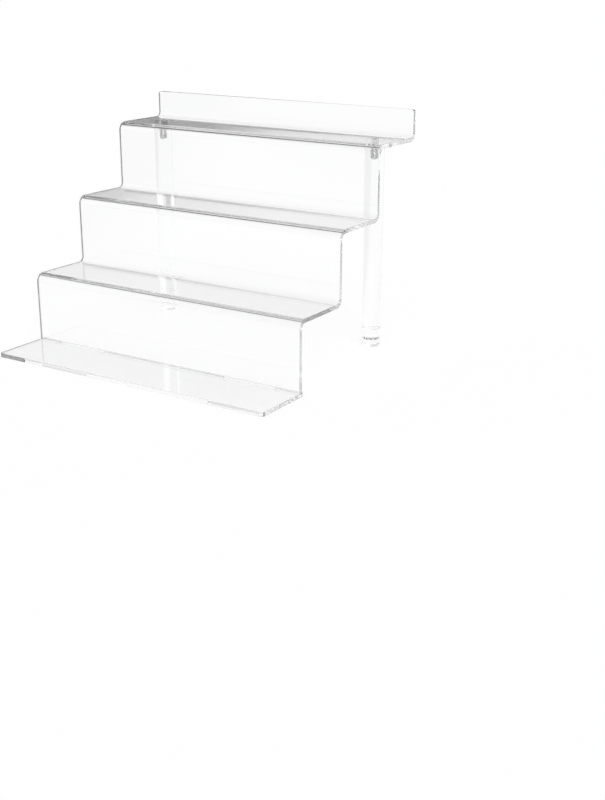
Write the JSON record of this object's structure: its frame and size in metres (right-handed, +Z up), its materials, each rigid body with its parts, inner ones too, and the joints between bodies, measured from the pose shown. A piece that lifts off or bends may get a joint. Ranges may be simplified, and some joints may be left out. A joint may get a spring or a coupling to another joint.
{
  "type": "tiered display stand",
  "caption": "Clear acrylic stepped display stand: a bent sheet of treads and risers plugs into a flat base plate and stands on turned rod legs screwed under its top tread.",
  "frame": {"origin": "on the surface the stand rests on, below the middle of its overall box", "axes": "+Z up, +X across the width to the right as seen from the front, -Y to the front where the base plate is, so the treads climb towards +Y"},
  "size_m": [0.3, 0.2546, 0.224],
  "materials": {
    "clear_acrylic": "clear polished acrylic, see-through",
    "screw_steel": "bright plated steel"
  },
  "bodies": {
    "plate": {"base_plate": "clear_acrylic"},
    "panel": {"stepped_panel": "clear_acrylic"},
    "left_leg": {"left_leg": "clear_acrylic"},
    "right_leg": {"right_leg": "clear_acrylic"},
    "left_screw": {"left_leg_screw": "screw_steel"},
    "right_screw": {"right_leg_screw": "screw_steel"}
  },
  "joints": [
    {"name": "panel_lift", "type": "slide", "parent": "plate", "child": "panel", "axis": [0, 0, 1], "range_m": [0, 0.03]},
    {"name": "left_leg_turn", "type": "hinge", "parent": "panel", "child": "left_leg", "pos_m": [-0.124, 0.09825, 0.1], "axis": [0, 0, -1], "range_deg": [0, 6570]},
    {"name": "right_leg_turn", "type": "hinge", "parent": "panel", "child": "right_leg", "pos_m": [0.124, 0.09825, 0.1], "axis": [0, 0, -1], "range_deg": [0, 6570]},
    {"name": "left_screw_lift", "type": "slide", "parent": "panel", "child": "left_screw", "axis": [0, 0, 1], "range_m": [0, 0.0147]},
    {"name": "right_screw_lift", "type": "slide", "parent": "panel", "child": "right_screw", "axis": [0, 0, 1], "range_m": [0, 0.0147]}
  ],
  "couplings": [
    {"joint": "left_screw_lift", "follows": "left_leg_turn", "m_per_rad": 0.00012732},
    {"joint": "right_screw_lift", "follows": "right_leg_turn", "m_per_rad": 0.00012732}
  ]
}
